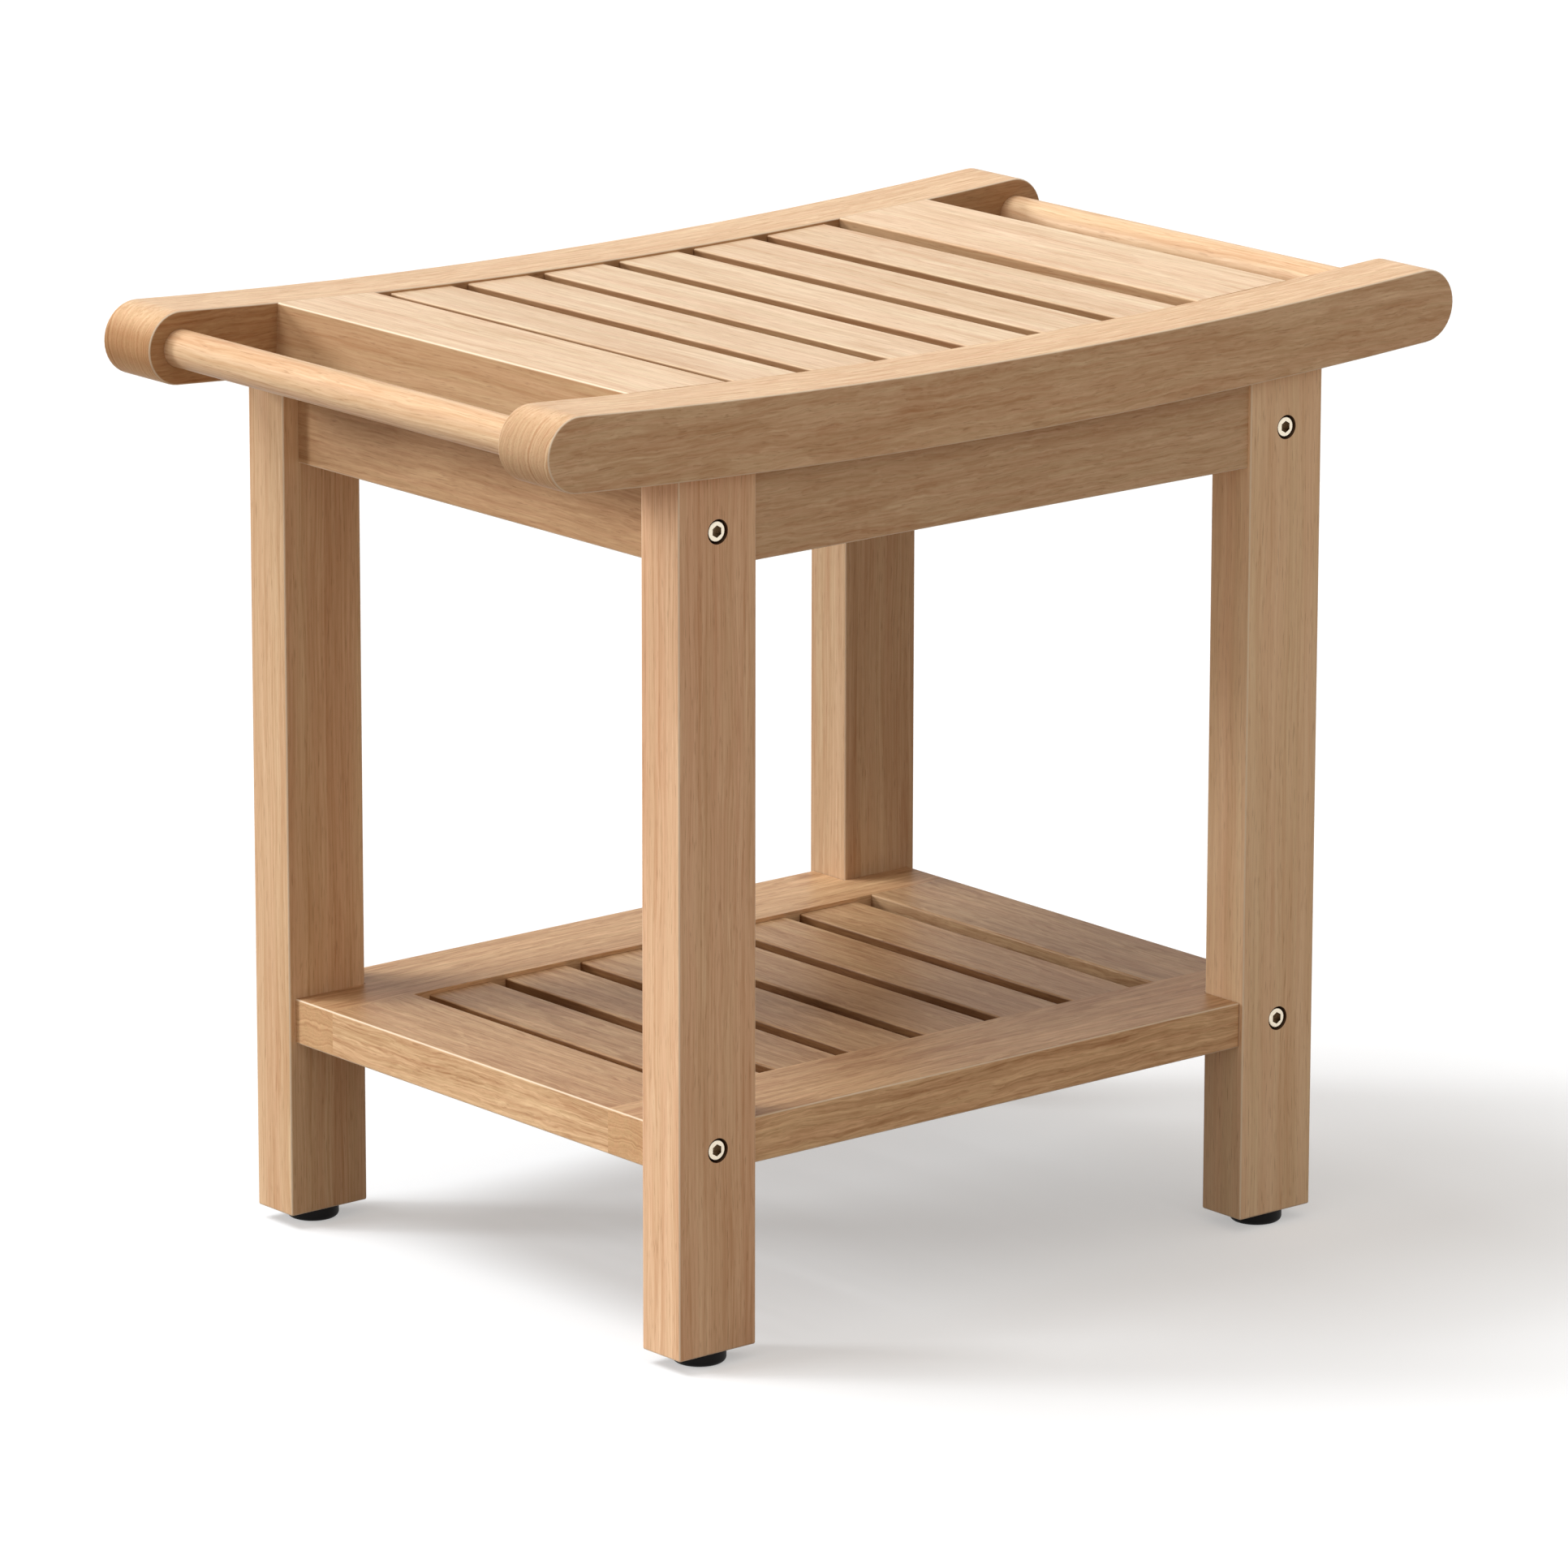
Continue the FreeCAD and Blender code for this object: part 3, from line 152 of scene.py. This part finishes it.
def teak(name, along, pith, seed, tones, shade=1.0, streak_long=60, wander=1.0, upright_painted_light=PLAIN,
         end_shade=1.0, end_lines=0.7, bored=False, turned=False, highlight_and_wear=SANDED_AND_HIGHLIGHT_SHARE, highlight_and_wear_side=None):
    """Teak for one piece, with lengths in mm.

    pith: a point on the axis of its growth rings
    streak_long, wander: length of its streaks, and how far its fibres sway
    upright_painted_light: tint of its upright faces against its tops, painted shade below 1 and painted
    light above 1
    end_shade, end_lines: shade of its cut ends, and weight of their ring lines
    bored: it has recesses for bolts
    turned: it has ends or sides that are round about the Y axis
    highlight_and_wear, highlight_and_wear_side: how far its edges pale, partly sanding wear and partly a
    painted highlight, and the side they face if only some do
    """
    material, tree = new_material(name)
    coords = add(tree, "ShaderNodeTexCoord").outputs
    turn = Euler(GRAIN_TURN[along])
    start = turn.to_matrix() @ Vector(pith)
    in_mm = add(tree, "ShaderNodeMapping", Vector=coords["Object"], Rotation=turn,
                Scale=(1 / MM, 1 / MM, 1 / MM), Location=(-start.x, -start.y, SEED_STEP * seed)).outputs[0]

    def noise(place, wide, long, detail=2.0):
        """Noise with lumps of a width across the grain and a length along it."""
        scaled = add(tree, "ShaderNodeMapping", Vector=place, Scale=(1 / wide, 1 / wide, 1 / long))
        return add(tree, "ShaderNodeTexNoise", Vector=scaled.outputs[0], Scale=1.0, Detail=detail,
                   Roughness=0.6).outputs

    def sway(place, wide, long, reach):
        """Moves the fibres sideways in slow waves, by a reach."""
        wave = vectors(tree, "SUBTRACT", noise(place, wide, long)["Color"], (0.5, 0.5, 0.5))
        return vectors(tree, "MULTIPLY_ADD", wave, (reach, reach, 0), place)

    def weigh(tone, value, weight):
        """Adds a value, less its mean, to a tone by a weight."""
        return maths(tree, "MULTIPLY_ADD", maths(tree, "SUBTRACT", value, 0.5), weight, tone)

    # the fibres sway in waves about a hand long, and in finer ones about as long as a streak
    slow = sway(in_mm, 40, 170, 9 * wander)
    bent = sway(slow, 8, 0.9 * streak_long, 2.4 * wander)

    # cut_end: 0 on a long face, 1 where the grain is cut across; level: 0 on an upright face, 1 on a top
    facing = add(tree, "ShaderNodeSeparateXYZ", Vector=vectors(tree, "ABSOLUTE", coords["Normal"])).outputs
    cut_end = spread(tree, facing[along.upper()], 0.0, 1.0, 0.25, 0.85, smooth=True)
    level = spread(tree, facing["Z"], 0.0, 1.0, 0.25, 0.85, smooth=True)

    # ring lines round the pith
    across = vectors(tree, "MULTIPLY", bent, (1 / RING_GAP, 1 / RING_GAP, 0))
    rings = add(tree, "ShaderNodeTexNoise", noise_dimensions="1D", W=vectors(tree, "LENGTH", across),
                Scale=1.0, Detail=2.0, Roughness=0.6).outputs["Fac"]

    # clouds a hand long, bands a few mm wide and streaks 1 mm wide
    cloud = noise(bent, 22, 210)["Fac"]
    band = noise(bent, streak_long / 8, 4 * streak_long)
    streak = noise(bent, 1.0, streak_long, 3.0)["Fac"]

    # a cut end shows more of the rings, and less of the bands and streaks
    long_weight = spread(tree, cut_end, 1.0, 0.15)
    tone = weigh(0.5, cloud, spread(tree, cut_end, 0.42, 0.4))
    tone = weigh(tone, band["Fac"], long_weight)
    tone = weigh(tone, streak, long_weight)
    tone = weigh(tone, rings, spread(tree, cut_end, 0.4, end_lines))
    colour = ramp(tree, tone, linear(tones[0], shade), linear(tones[1], shade))

    # the bands lean to rose on one side and to olive on the other
    lean = add(tree, "ShaderNodeSeparateColor", Color=band["Color"]).outputs["Green"]
    hue = mix(tree, spread(tree, lean, 0.0, 1.0, 0.36, 0.64), ROSE, OLIVE)
    colour = mix(tree, 1.0, colour, hue, "MULTIPLY")

    # pores, thin brown dashes
    speck = noise(bent, PORE_WIDE, PORE_LONG, 1.0)["Fac"]
    pore = spread(tree, speck, 0.0, 0.3, 0.58, 0.74, smooth=True)
    colour = mix(tree, pore, colour, PORE_BROWN, "MULTIPLY")

    # an end is darker than a long face, as end grain takes more oil and, on the front rail's round end, as
    # painted shade;
    # upright faces are tinted against the tops as painted light: painted shade below 1, painted light
    # above 1
    end_tint = (end_shade, 0.95 * end_shade, 0.9 * end_shade, 1)
    colour = mix(tree, 1.0, colour, mix(tree, cut_end, PLAIN, end_tint), "MULTIPLY")
    colour = mix(tree, 1.0, colour, mix(tree, level, upright_painted_light, PLAIN), "MULTIPLY")

    # the rounded edges are paled, partly as sanding wear and partly as a painted highlight: there the
    # normal leans between two faces, so that the fourth powers of its parts add up to less than 1; a round
    # end or side counts as one face
    square = vectors(tree, "MULTIPLY", coords["Normal"], coords["Normal"])
    if turned:
        to_side = add(tree, "ShaderNodeSeparateXYZ", Vector=square).outputs["Y"]
        to_rim = maths(tree, "SUBTRACT", 1.0, to_side)
        square = add(tree, "ShaderNodeCombineXYZ", X=to_side, Y=to_rim).outputs[0]
    arris = spread(tree, vectors(tree, "DOT_PRODUCT", square, square), 0.0, highlight_and_wear, 0.97, 0.5)
    if highlight_and_wear_side:
        outward = vectors(tree, "DOT_PRODUCT", coords["Normal"], highlight_and_wear_side)
        arris = maths(tree, "MULTIPLY", arris, maths(tree, "GREATER_THAN", outward, 0.0))
    colour = mix(tree, arris, colour, SANDED_AND_HIGHLIGHT)

    # painted shade: the walls of the bolts' recesses are darkened to a near black brown
    for row in ("upper", "lower") if bored else ():
        colour = mix(tree, near_bolt(tree, row, 0.51 * BOLT_RECESS), colour, RECESS_PAINTED_SHADE, "MULTIPLY")

    height = maths(tree, "MULTIPLY_ADD", pore, -2.0, streak)
    bump = add(tree, "ShaderNodeBump", Strength=0.3, Distance=0.06 * MM, Height=height)
    matt = maths(tree, "MULTIPLY_ADD", cut_end, 0.28, spread(tree, streak, 0.36, 0.52))
    wood = add(tree, "ShaderNodeBsdfPrincipled", Base_Color=colour, Roughness=matt,
               Normal=bump.outputs[0], IOR=1.42, Specular_IOR_Level=0.2)
    finish_material(tree, wood)
    return material


def nickel_plate(level):
    """Nickel-plated steel, barrel polished: a pale warm mirror, blurred by fine tumbling marks.

    Inside the hexagon, below the head's face, the sockets are darkened as painted shade."""
    material, tree = new_material(f"nickel_plated_steel_{level}")
    place = add(tree, "ShaderNodeTexCoord").outputs["Object"]
    within = near_bolt(tree, level, 0.6 * BOLT_SOCKET)
    depth = add(tree, "ShaderNodeSeparateXYZ", Vector=vectors(tree, "ABSOLUTE", place)).outputs["Y"]
    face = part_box(f"{level}_bolts")[1].y
    below = maths(tree, "LESS_THAN", depth, face - 0.15 * MM)
    painted_socket_shade = maths(tree, "MULTIPLY", within, below)

    marks = add(tree, "ShaderNodeTexNoise", Vector=place, Scale=1 / (0.8 * MM), Detail=3.0).outputs["Fac"]
    tint = ramp(tree, marks, linear("#f4ead8"), linear("#e0d2b9"))
    metal = add(tree, "ShaderNodeBsdfPrincipled", Metallic=1.0,
                Base_Color=mix(tree, painted_socket_shade, tint, linear("#8c7b66")),
                Roughness=spread(tree, marks, 0.18, 0.36))
    finish_material(tree, metal)
    return material


def zinc_plate():
    """Zinc-plated steel, dull and bluish with a cloudy spangle a few mm wide."""
    material, tree = new_material("zinc_plated_steel")
    place = add(tree, "ShaderNodeTexCoord").outputs["Object"]
    cloud = add(tree, "ShaderNodeTexNoise", Vector=place, Scale=1 / (2.5 * MM), Detail=4.0).outputs["Fac"]
    metal = add(tree, "ShaderNodeBsdfPrincipled", Metallic=1.0,
                Base_Color=ramp(tree, cloud, linear("#b9bcc0"), linear("#8f9499")),
                Roughness=spread(tree, cloud, 0.28, 0.48))
    finish_material(tree, metal)
    return material


def turned_brass():
    """Brass, turned on a lathe: yellow, with fine rings round its axis every 0.4 mm of height."""
    material, tree = new_material("turned_brass")
    place = add(tree, "ShaderNodeTexCoord").outputs["Object"]
    height = add(tree, "ShaderNodeSeparateXYZ", Vector=place).outputs["Z"]
    wave = maths(tree, "SINE", maths(tree, "MULTIPLY", height, 2 * math.pi / (0.4 * MM)))
    bump = add(tree, "ShaderNodeBump", Strength=0.3, Distance=0.03 * MM, Height=wave)
    metal = add(tree, "ShaderNodeBsdfPrincipled", Metallic=1.0, Roughness=0.3,
                Base_Color=ramp(tree, wave, linear("#c8a255"), linear("#b48d43")), Normal=bump.outputs[0])
    finish_material(tree, metal)
    return material


def moulded_rubber():
    """Nitrile rubber, moulded: near black, with a fine grit in its satin skin."""
    material, tree = new_material("moulded_rubber")
    place = add(tree, "ShaderNodeTexCoord").outputs["Object"]
    grit = add(tree, "ShaderNodeTexNoise", Vector=place, Scale=1 / (0.7 * MM), Detail=2.0).outputs["Fac"]
    bump = add(tree, "ShaderNodeBump", Strength=0.2, Distance=0.05 * MM, Height=grit)
    rubber = add(tree, "ShaderNodeBsdfPrincipled", IOR=1.52, Specular_IOR_Level=0.16,
                 Base_Color=ramp(tree, grit, linear("#060505"), linear("#0e0d0c")),
                 Roughness=spread(tree, grit, 0.42, 0.60), Normal=bump.outputs[0])
    finish_material(tree, rubber)
    return material


def dress(node, material):
    """Gives a CAD node one material on all its slots."""
    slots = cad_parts[node].data.materials
    slots.clear()
    slots.append(material)


STEM_RADIUS = 4.0 * MM
THREAD_PITCH = 1.25 * MM
THREAD_DEEP = 0.767 * MM
FLANGE_RADIUS, FLANGE_THICK = 7.5 * MM, 2.2 * MM
THREAD_STEPS = 24
ROOT_SUNK = 0.05 * MM
WELD = 0.001 * MM


def threaded_stem(corner, material):
    """Foot stem with its flange and a cut thread, where the CAD model has a plain pin."""
    node = f"foot_stem_{corner}"
    low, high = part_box(node)
    middle = Vector(((low.x + high.x) / 2, (low.y + high.y) / 2, 0))
    core = STEM_RADIUS - THREAD_DEEP
    flange_top = low.z + FLANGE_THICK
    stem = bmesh.new()

    # core and flange, turned about the axis
    outline = [(0, low.z), (FLANGE_RADIUS, low.z), (FLANGE_RADIUS, flange_top), (core, flange_top),
               (core, high.z), (0, high.z)]
    corners = [stem.verts.new((radius, 0, z)) for radius, z in outline]
    edges = [stem.edges.new(pair) for pair in zip(corners, corners[1:])]
    bmesh.ops.spin(stem, geom=corners + edges, cent=(0, 0, 0), axis=(0, 0, 1), angle=2 * math.pi,
                   steps=2 * THREAD_STEPS, use_merge=True)

    # thread: one ridge wound up the core, its root sunk a little into it; heights are parts of a pitch
    turns = int((high.z - flange_top) / THREAD_PITCH) - 1
    root = core - ROOT_SUNK
    ridge = [(root, 0.08), (STEM_RADIUS, 0.44), (STEM_RADIUS, 0.56), (root, 0.92)]
    section = [stem.verts.new((radius, 0, flange_top + part * THREAD_PITCH)) for radius, part in ridge]
    face = stem.faces.new(section)
    bmesh.ops.spin(stem, geom=[face], cent=(0, 0, 0), axis=(0, 0, 1), angle=2 * math.pi * turns,
                   steps=THREAD_STEPS * turns, dvec=(0, 0, THREAD_PITCH / THREAD_STEPS))
    bmesh.ops.remove_doubles(stem, verts=stem.verts[:], dist=WELD)
    bmesh.ops.translate(stem, verts=stem.verts[:], vec=middle)
    bmesh.ops.recalc_face_normals(stem, faces=stem.faces[:])
    mesh = bpy.data.meshes.new(f"threaded_stem_{corner}")
    stem.to_mesh(mesh)
    stem.free()
    mesh.materials.append(material)
    piece = bpy.data.objects.new(f"threaded_stem_{corner}", mesh)
    scene.collection.objects.link(piece)
    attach(piece, f"stem_{corner}")
    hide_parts(node)


# Tones, pale and dark: the seat is palest, the frame a little warmer and the shelf brownest.
SEAT = ("#f3ddbf", "#c59c76")
FRAME = ("#f0d4b0", "#bf9067")
SHELF = ("#ecc69a", "#9e6c44")
SHORT = ("#deb991", "#ae815a")
ROSY = ("#f1d2b0", "#c18f69")
PALE = ("#f8dfbd", "#d6ae86")
BEECH = ("#d9bd96", "#c0a075")
# Tints of upright faces against the tops, as painted light: painted shade on the slats' sides in their
# gaps, on the seat end boards' outer edges and on the rails' faces; painted light on the shelf's sides,
# whose tops carry painted shade.
DARK_PAINTED_SHADE = (0.46, 0.34, 0.24, 1)
BROWN_PAINTED_SHADE = (0.68, 0.58, 0.475, 1)
DULL_PAINTED_SHADE = (0.94, 0.935, 0.93, 1)
PALE_PAINTED_LIGHT = (1.38, 1.48, 1.57, 1)

# Each piece's cut, in the order of teak's arguments: axis of the grain, pith, seed, tones, shade,
# length of the streaks, wander, painted light on the upright faces, shade of the ends and their ring
# lines.
boards = {
    "rail_front": ("x", (0, -300, 425), 1, FRAME, 0.99, 18, 1.2, DULL_PAINTED_SHADE, 0.81, 1.4),
    "rail_back": ("x", (0, 310, 430), 2, FRAME, 0.99, 18, 1.2, BROWN_PAINTED_SHADE, 0.94, 1.4),
    "apron_front": ("x", (0, -50, 380), 3, FRAME, 0.86, 18, 1.2),
    "apron_back": ("x", (0, 60, 385), 4, FRAME, 0.86, 18, 1.2),
    # The short aprons' darker wood is partly painted shade under the seat's overhang.
    "apron_left": ("y", (-90, 0, 410), 5, SHORT, 0.88, 22),
    "apron_right": ("y", (95, 0, 400), 6, SHORT, 0.88, 22),
    "handle_rod_left": ("y", (-225, 0, 400), 7, FRAME, 1.02, 40),
    "handle_rod_right": ("y", (230, 0, 395), 8, FRAME, 1.02, 40),
    "seat_end_board_left": ("y", (-150, 0, 330), 9, SEAT, 1.03, 40, 1.0, BROWN_PAINTED_SHADE),
    "seat_end_board_right": ("y", (140, 0, 320), 10, SEAT, 1.0, 40, 1.0, BROWN_PAINTED_SHADE),
    "leg_front_left": ("z", (-90, -60, 0), 11, ROSY, 1.1, 80, 0.8),
    "leg_front_right": ("z", (95, -70, 0), 12, PALE, 1.06, 80, 0.8),
    "leg_back_left": ("z", (-95, 70, 0), 13, FRAME, 0.98, 80, 0.8),
    # The back right leg's low shade is painted shade, for the shade under the bench.
    "leg_back_right": ("z", (90, 60, 0), 14, FRAME, 0.8, 80, 0.8),
    # The shelf's low shades are partly its browner wood and partly painted shade on its tops under the
    # seat.
    "shelf_board_front": ("x", (0, -110, -20), 15, SHELF, 0.86, 26, 1.6, PALE_PAINTED_LIGHT, 0.86),
    "shelf_board_back": ("x", (0, 120, -30), 16, SHELF, 0.86, 26, 1.6, PALE_PAINTED_LIGHT, 0.86),
    "shelf_end_board_left": ("y", (-150, 0, -10), 17, SHELF, 0.81, 26, 1.6, PALE_PAINTED_LIGHT),
    "shelf_end_board_right": ("y", (160, 0, -25), 18, SHELF, 0.66, 26, 1.6),
}

# The slats are sawn from different places round the pith, so that no two show the same rings.
SLATS, SLAT_PITCH = 6, 46
SEAT_SEED, SHELF_SEED = 20, 30
for index in range(1, SLATS + 1):
    middle = SLAT_PITCH * (index - (SLATS + 1) / 2)
    step = index % 3 - 1
    seat_pith = (middle + 9 * step, 0, 330 - 7 * index)
    shelf_pith = (middle - 11 * step, 0, -8 * index)
    # The slats' upright faces carry painted shade for their gaps; the shelf slats' low shade is partly
    # painted shade under the seat.
    boards[f"seat_slat_{index}"] = ("y", seat_pith, SEAT_SEED + index, SEAT, 0.96, 40, 1.0, DARK_PAINTED_SHADE)
    boards[f"shelf_slat_{index}"] = ("y", shelf_pith, SHELF_SEED + index, SHELF, 0.74, 26, 1.6, DARK_PAINTED_SHADE)

# These boards have paled edges, partly sanding wear and partly a painted highlight, on their outer side
# only; the slats on none.
OUTWARD = {
    "seat_end_board_left": (-1, 0, 0),
    "seat_end_board_right": (1, 0, 0),
    "shelf_end_board_right": (1, 0, 0),
}
for node, cut in boards.items():
    oiled = teak(f"oiled_teak_{node}", *cut,
                 bored=node.startswith("leg_"),
                 turned=node.startswith(("rail_", "handle_rod_")),
                 highlight_and_wear=0.0 if "slat" in node else SANDED_AND_HIGHLIGHT_SHARE,
                 highlight_and_wear_side=OUTWARD.get(node))
    dress(node, oiled)

# Beech, straight and even in its grain: the dowels.
dress("leg_dowels", teak("beech_dowel", "z", (40, 30, 0), 41, BEECH, wander=0.5))

zinc, brass, rubber = zinc_plate(), turned_brass(), moulded_rubber()
for level in ("upper", "lower"):
    dress(f"{level}_bolts", nickel_plate(level))
    dress(f"{level}_barrel_nuts", zinc)
dress("foot_inserts", brass)
for corner in ("front_left", "front_right", "back_left", "back_right"):
    dress(f"foot_pad_{corner}", rubber)
    threaded_stem(corner, zinc)


def in_view(tree):
    """1 for rays that show a surface to the camera, also mirrored or through glass, and else 0."""
    path = add(tree, "ShaderNodeLightPath").outputs
    mirrored = maths(tree, "MAXIMUM", path["Is Camera Ray"], path["Is Glossy Ray"])
    return maths(tree, "MAXIMUM", mirrored, path["Is Transmission Ray"])


# Floor: white paper that keeps a pale shadow; in the light it throws back it is a warm mid grey.
FLOOR_HALF = 30
floor_mesh = bpy.data.meshes.new("studio_floor")
shape = bmesh.new()
bmesh.ops.create_grid(shape, x_segments=1, y_segments=1, size=FLOOR_HALF)
shape.to_mesh(floor_mesh)
shape.free()
floor = bpy.data.objects.new("studio_floor", floor_mesh)
scene.collection.objects.link(floor)
paper, tree = new_material("white_paper")
bounce = add(tree, "ShaderNodeBsdfDiffuse", Color=(0.28, 0.235, 0.20, 1))
shadow = add(tree, "ShaderNodeBsdfDiffuse", Color=(0.6, 0.61, 0.625, 1))
white = add(tree, "ShaderNodeEmission", Color=(1, 1, 0.99, 1), Strength=0.4)
eye = add(tree, "ShaderNodeAddShader", i0=shadow.outputs[0], i1=white.outputs[0])
matte = add(tree, "ShaderNodeMixShader", Fac=in_view(tree), i1=bounce.outputs[0], i2=eye.outputs[0])
finish_material(tree, matte)
floor_mesh.materials.append(paper)

# Light: a room that is white to the eye and warm to the object, brighter overhead and behind the
# camera; a soft key from above and from the camera's left; and a lower light from the camera's left.
ROOM_LOW, ROOM_HIGH, ROOM_LEAN = 0.30, 0.52, (-0.4, -0.6, 0)
world = bpy.data.worlds.new("white_room")
scene.world = world
world.use_nodes = True
tree = world.node_tree
tree.nodes.clear()
direction = add(tree, "ShaderNodeTexCoord").outputs["Generated"]
height = add(tree, "ShaderNodeSeparateXYZ", Vector=direction).outputs["Z"]
overhead = spread(tree, height, ROOM_LOW, ROOM_HIGH)
uneven = maths(tree, "ADD", vectors(tree, "DOT_PRODUCT", direction, ROOM_LEAN), 1.0)
strength = maths(tree, "MULTIPLY", overhead, uneven)
light = add(tree, "ShaderNodeBackground", Color=(1.02, 0.925, 0.84, 1), Strength=strength)
white = add(tree, "ShaderNodeBackground", Color=(1, 1, 1, 1), Strength=1.0)
room = add(tree, "ShaderNodeMixShader", Fac=in_view(tree), i1=light.outputs[0], i2=white.outputs[0])
add(tree, "ShaderNodeOutputWorld", Surface=room.outputs[0])


def soft_sun(name, towards, strength, degrees):
    """Sun whose light comes from a direction, with a soft edge to its shadow."""
    lamp = bpy.data.lights.new(name, "SUN")
    lamp.energy = strength
    lamp.color = (0.97, 1.0, 1.02)
    lamp.angle = math.radians(degrees)
    sun = bpy.data.objects.new(name, lamp)
    sun.rotation_euler = Vector(towards).to_track_quat("Z", "Y").to_euler()
    scene.collection.objects.link(sun)


soft_sun("key", towards=(-0.36, 0.34, 0.87), strength=2.15, degrees=32)
soft_sun("side", towards=(-0.685, 0.66, 0.31), strength=1.62, degrees=14)

# Camera: fitted to the leg ends, rails and shelf edges of the photograph.
AIM = Vector((-0.00325, -0.00340, 0.21580))
AZIMUTH, ELEVATION, ROLL = math.radians(-39.817), math.radians(14.486), math.radians(0.092)
DISTANCE = 4.4897
back = Vector((math.sin(AZIMUTH) * math.cos(ELEVATION), -math.cos(AZIMUTH) * math.cos(ELEVATION),
               math.sin(ELEVATION)))
camera_data = bpy.data.cameras.new("camera")
camera_data.sensor_width = 36.0
camera_data.lens = 217.4
camera_data.clip_end = 100.0
camera = bpy.data.objects.new("camera", camera_data)
upright = (-back).to_track_quat("-Z", "Y").to_matrix().to_4x4()
camera.matrix_world = Matrix.Translation(AIM + back * DISTANCE) @ upright @ Matrix.Rotation(ROLL, 4, "Z")
scene.collection.objects.link(camera)
scene.camera = camera
